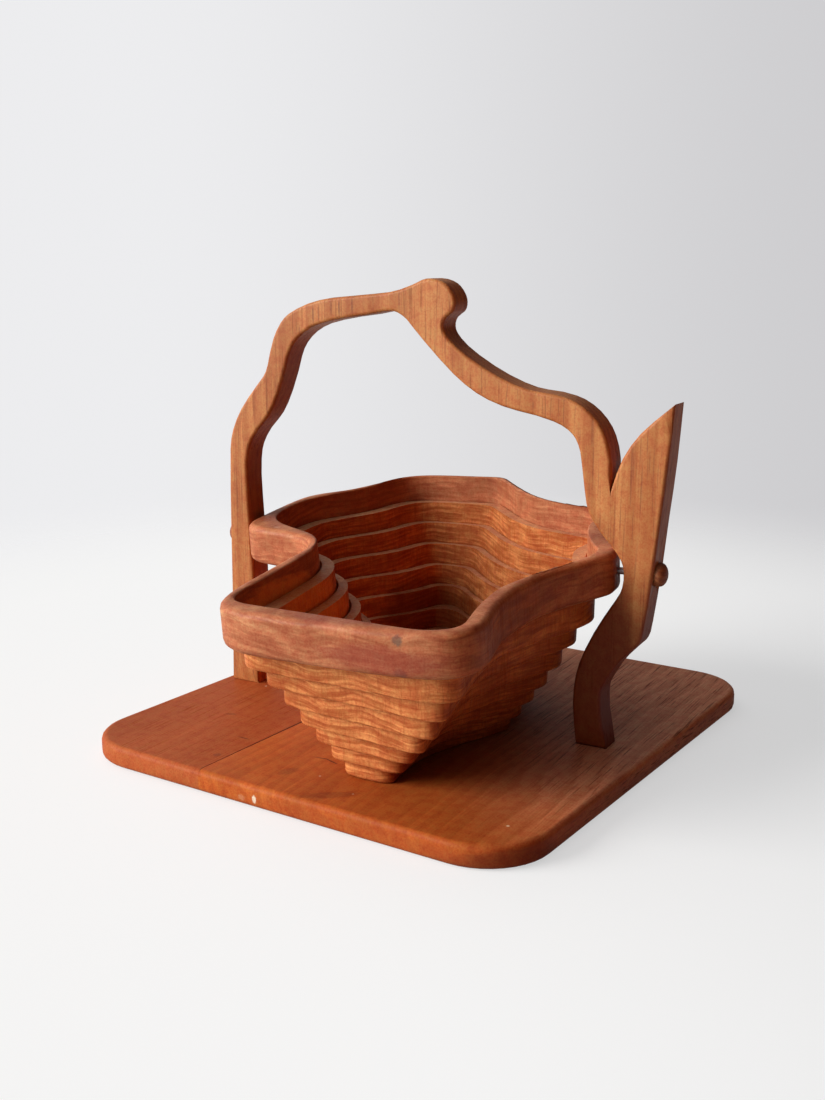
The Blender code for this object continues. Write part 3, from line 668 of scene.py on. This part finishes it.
# %% Rim wood
FINGER_GREY = (0.085, 0.065, 0.055)
rim_marks = [
    # two grey finger marks near the front right corner
    Mark((75.0, -177.4, 114.5), (3.6, 4.0, 3.6), 0.0, FINGER_GREY, 0.62),
    Mark((76.0, -175.4, 96.8), (4.6, 6.0, 3.4), 0.0, FINGER_GREY, 0.55),
    # a paler stretch on the left and a redder one on the right
    Mark((-12.0, -167.0, 112.0), (34.0, 14.0, 7.0), 0.0, (0.70, 0.40, 0.19), 0.6),
    Mark((66.0, -174.0, 103.0), (44.0, 14.0, 9.0), 0.0, (0.27, 0.050, 0.030), 0.65),
    # darker bands under the top edge, and a darker middle
    Mark((-25.0, -165.0, 121.0), (28.0, 14.0, 3.5), 0.0, (0.26, 0.075, 0.055), 0.5),
    Mark((30.0, -170.0, 119.0), (26.0, 14.0, 4.0), 0.0, (0.30, 0.085, 0.060), 0.45),
    Mark((20.0, -170.0, 106.0), (24.0, 14.0, 6.0), 0.0, (0.36, 0.090, 0.040), 0.35),
    # a pale rub on the top near the left post, and painted bounce light on the inner wall on the
    # left
    Mark((-98.8, -32.4, 129.0), (3.0, 2.0, 1.5), 30.0, (0.75, 0.50, 0.38), 0.35),
    Mark((-43.0, -105.0, 108.0), (6.0, 62.0, 11.0), 0.0, (0.92, 0.46, 0.14), 0.85),
]
# the rim's light tone is greyer than the rings': painted sheen
basket_woods["basket_rim"] = flat_sawn_wood("basket_rim_wood", to_board["rim"],
                                            (0.56, 0.21, 0.095), (0.25, 0.058, 0.022),
                                            marks=rim_marks, streak_share=0.5,
                                            layer_share=0.25, blade_share=0.2, relief=0.12,
                                            shine=0.16)
print("rim has", len(rim_marks), "marks")

# %% [markdown]
# ## Rings and bottom
# The rings and the bottom keep their sawn faces: strong waves, blade lines and a rough, dull
# surface. Deep inside the basket the wood gets painted shade, the walls near the front on the
# left get painted bounce light, and the ring tops there get painted shade. These broad
# differences are marks as well, only larger, so that they run on from ring to ring.

# %% Ring wood
RING_LIGHT = (0.75, 0.285, 0.093)
RING_DARK = (0.33, 0.070, 0.016)
# painted shade deep inside, painted bounce light on the front left walls, painted shade on the
# ring tops there
PAINTED_SHADE_TONE = (0.16, 0.030, 0.006)
inner_shade = Mark((-5.0, 5.0, 52.0), (80.0, 72.0, 34.0), 0.0, PAINTED_SHADE_TONE, 0.6)
far_shade = Mark((-48.0, 84.0, 50.0), (64.0, 44.0, 27.0), 0.0, PAINTED_SHADE_TONE, 0.75)
painted_front_wall_light = Mark((-42.0, -95.0, 102.0), (46.0, 48.0, 34.0), 0.0, (0.92, 0.42, 0.12), 0.9)
painted_front_top_shade = Mark((-42.0, -90.0, 102.0), (50.0, 52.0, 34.0), 0.0, (0.42, 0.090, 0.012), 0.85)
for body in basket_bodies[1:]:
    basket_woods["basket_" + body] = flat_sawn_wood(
        "basket_%s_wood" % body, to_board[body], RING_LIGHT, RING_DARK,
        marks=[inner_shade, far_shade, painted_front_wall_light],
        top_marks=[inner_shade, far_shade, painted_front_top_shade])
print("basket woods:", len(basket_woods))

# %% [markdown]
# ## Pivot screws
# The two screws that carry the rim are steel. Only a sliver of one shows between rim and leg, so
# a plain metal shader is enough.

# %% Steel
STEEL_TONE = (0.55, 0.55, 0.57, 1.0)

steel = bpy.data.materials.new("screw_steel")
steel.use_nodes = True
steel_shader = steel.node_tree.nodes["Principled BSDF"]
steel_shader.inputs["Base Color"].default_value = STEEL_TONE
steel_shader.inputs["Metallic"].default_value = 1.0
steel_shader.inputs["Roughness"].default_value = 0.35
woods_and_steel = {**woods, "screw": steel}
print("finishes:", sorted(woods_and_steel))

# %% [markdown]
# ## Dressing the pieces
# A CAD node is loose triangles, which would shade as facets. The edges are already rounded, so a
# bevel isn't needed: the copy's points are merged, flat stretches are joined, and the shading is
# smooth except at sharp corners. A Weighted Normal modifier keeps the large flat faces evenly
# lit, and is turned into plain mesh data. The copy then rides on the same body and stands for
# the node.

# %% Dress the pieces
MERGE = 1e-6
FLAT_ANGLE = math.radians(0.2)
SHARP_ANGLE = math.radians(35)


def merged_mesh(source, name):
    """A CAD node's triangles, with shared points and joined flat stretches."""
    bm = bmesh.new()
    bm.from_mesh(source.data)
    bmesh.ops.remove_doubles(bm, verts=bm.verts, dist=MERGE)
    bmesh.ops.dissolve_limit(bm, angle_limit=FLAT_ANGLE, verts=bm.verts, edges=bm.edges)
    bmesh.ops.triangulate(bm, faces=bm.faces)
    mesh = bpy.data.meshes.new(name)
    bm.to_mesh(mesh)
    bm.free()
    mesh.shade_smooth()
    mesh.set_sharp_from_angle(angle=SHARP_ANGLE)
    return mesh


def dressed(node_name, material):
    """Merged, smooth copy of a CAD node in its finish."""
    source = frame["nodes"][node_name]
    mesh = merged_mesh(source, node_name + "_shown")
    mesh.materials.append(material)
    obj = bpy.data.objects.new(node_name + "_shown", mesh)
    bpy.context.scene.collection.objects.link(obj)
    even = obj.modifiers.new("even_light", "WEIGHTED_NORMAL")
    even.keep_sharp = True
    graph = bpy.context.evaluated_depsgraph_get()
    evenly_lit = bpy.data.meshes.new_from_object(obj.evaluated_get(graph))
    obj.modifiers.clear()
    obj.data = evenly_lit
    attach(obj, source["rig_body"])
    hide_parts(node_name)
    return obj


shown_pieces = []
for entry in frame["record"]["subparts"]:
    node_name, slot = entry["node"], entry["material_slot"]
    material = basket_woods.get(node_name) or woods_and_steel[slot]
    shown_pieces.append(dressed(node_name, material))
print("dressed:", len(shown_pieces))

# %% [markdown]
# ## Floor
# The basket stands on a pale floor that runs out into a pale wall. A plain white floor would
# need strong light to look white and would throw it back at the wood. So the camera sees a
# paler paint than the light does, and in gloss and glass the floor shows partly or fully as
# the camera sees it, while the soft shadow stays. Far out the floor fades into the wall.

# %% Floor
FLOOR_RADIUS = 4.0
FLOOR_DROP = 0.0004
FLOOR_GREY = (0.58, 0.58, 0.58)
FLOOR_SEEN = (0.98, 0.98, 0.98)
FLOOR_LEFT = (1.0, 1.0, 1.0)
FLOOR_RIGHT = (0.72, 0.72, 0.73)
FLOOR_TONE_RANGE = (-0.05, 0.50)
FLOOR_FADE_RANGE = (0.45, 0.95)
FLOOR_GLOW = 0.58
FLOOR_GLOSS = 0.3


def seen_share(tree, glossy_share):
    """1 for camera and transmission rays, a share for glossy rays, and 0 for the rest."""
    path = add(tree, "ShaderNodeLightPath").outputs
    glossy = maths(tree, "MULTIPLY", path["Is Glossy Ray"], glossy_share)
    indirect = maths(tree, "MAXIMUM", glossy, path["Is Transmission Ray"])
    return maths(tree, "MAXIMUM", path["Is Camera Ray"], indirect)


bpy.ops.mesh.primitive_circle_add(vertices=96, radius=FLOOR_RADIUS, fill_type="NGON",
                                  location=(0.0, 0.0, -FLOOR_DROP))
floor = bpy.context.object
floor.name = "floor"
paint = bpy.data.materials.new("floor_paint")
paint.use_nodes = True
tree = paint.node_tree
tree.nodes.clear()
place = add(tree, "ShaderNodeTexCoord").outputs["Object"]
by_camera = add(tree, "ShaderNodeLightPath").outputs["Is Camera Ray"]
matt = add(tree, "ShaderNodeBsdfDiffuse",
           {"Color": blend(tree, by_camera, FLOOR_GREY, FLOOR_SEEN)})
# painted fall-off of the window's light: the floor the camera sees is darker to the right
rightward = vector_maths(tree, "DOT_PRODUCT", place, PICTURE_RIGHT, "Value")
tone = blend(tree, remap(tree, rightward, *FLOOR_TONE_RANGE), FLOOR_LEFT, FLOOR_RIGHT)
glow = add(tree, "ShaderNodeEmission", {"Color": tone, "Strength": 1.0})
glow_share = maths(tree, "MULTIPLY", seen_share(tree, FLOOR_GLOSS), FLOOR_GLOW)
near = add(tree, "ShaderNodeMixShader", {0: glow_share, 1: matt.outputs[0], 2: glow.outputs[0]})
far_out = remap(tree, length_of(tree, place), *FLOOR_FADE_RANGE)
fade = maths(tree, "MULTIPLY", far_out, by_camera)
open_air = add(tree, "ShaderNodeBsdfTransparent")
whole = add(tree, "ShaderNodeMixShader", {0: fade, 1: near.outputs[0], 2: open_air.outputs[0]})
add(tree, "ShaderNodeOutputMaterial", {"Surface": whole.outputs[0]})
floor.data.materials.append(paint)
print("floor radius", FLOOR_RADIUS)

# %% [markdown]
# ## Window light
# The light comes from a large window to the left and a little in front. An area lamp would light
# the near side more than the far side, so a sun lamp with a wide angle is used: it is even and
# its shadows are just as soft.

# %% Window light
WINDOW_SIDE = Vector((-0.70, -0.63, 0.33))
WINDOW_STRENGTH = 3.9
WINDOW_SPREAD = math.radians(38.0)

window_data = bpy.data.lights.new("window", "SUN")
window_data.energy = WINDOW_STRENGTH
window_data.angle = WINDOW_SPREAD
window_data.color = (1.0, 0.985, 0.96)
window = bpy.data.objects.new("window", window_data)
bpy.context.scene.collection.objects.link(window)
window.rotation_euler = WINDOW_SIDE.to_track_quat("Z", "Y").to_euler()
print("window light ready")

# %% [markdown]
# ## Room
# The room itself is bright on the window's side and dim on the other, which, with the painted side
# shade, gives the wood its deep right sides. The wall that the camera sees is a pale grey with
# painted fall-off of the window's light, a little darker to the right.
# One world does both, with the same rule for rays as the floor has.

# %% Room
ROOM_BRIGHT_SIDE = (-0.88, -0.36, 0.31)
ROOM_RANGE = (-0.3, 0.95)
ROOM_DIM = 0.03
ROOM_BRIGHT = 0.85
WALL_LEFT = (0.845, 0.845, 0.86)
WALL_RIGHT = (0.61, 0.605, 0.62)
WALL_TONE_RANGE = (-0.22, 0.36)
WALL_GLOSS = 0.1

world = bpy.data.worlds.new("room")
bpy.context.scene.world = world
world.use_nodes = True
room = world.node_tree
room.nodes.clear()
side = add(room, "ShaderNodeTexCoord").outputs["Generated"]
toward = vector_maths(room, "DOT_PRODUCT", side, ROOM_BRIGHT_SIDE, "Value")
level = remap(room, toward, *ROOM_RANGE, ROOM_DIM, ROOM_BRIGHT)
fill = add(room, "ShaderNodeBackground", {"Color": (1.0, 1.0, 1.0, 1.0), "Strength": level})
rightward = vector_maths(room, "DOT_PRODUCT", side, PICTURE_RIGHT, "Value")
tone = blend(room, remap(room, rightward, *WALL_TONE_RANGE), WALL_LEFT, WALL_RIGHT)
wall = add(room, "ShaderNodeBackground", {"Color": tone, "Strength": 1.0})
choice = add(room, "ShaderNodeMixShader",
             {0: seen_share(room, WALL_GLOSS), 1: fill.outputs[0], 2: wall.outputs[0]})
add(room, "ShaderNodeOutputWorld", {"Surface": choice.outputs[0]})
bpy.context.scene.view_settings.view_transform = "Standard"
print("room ready")
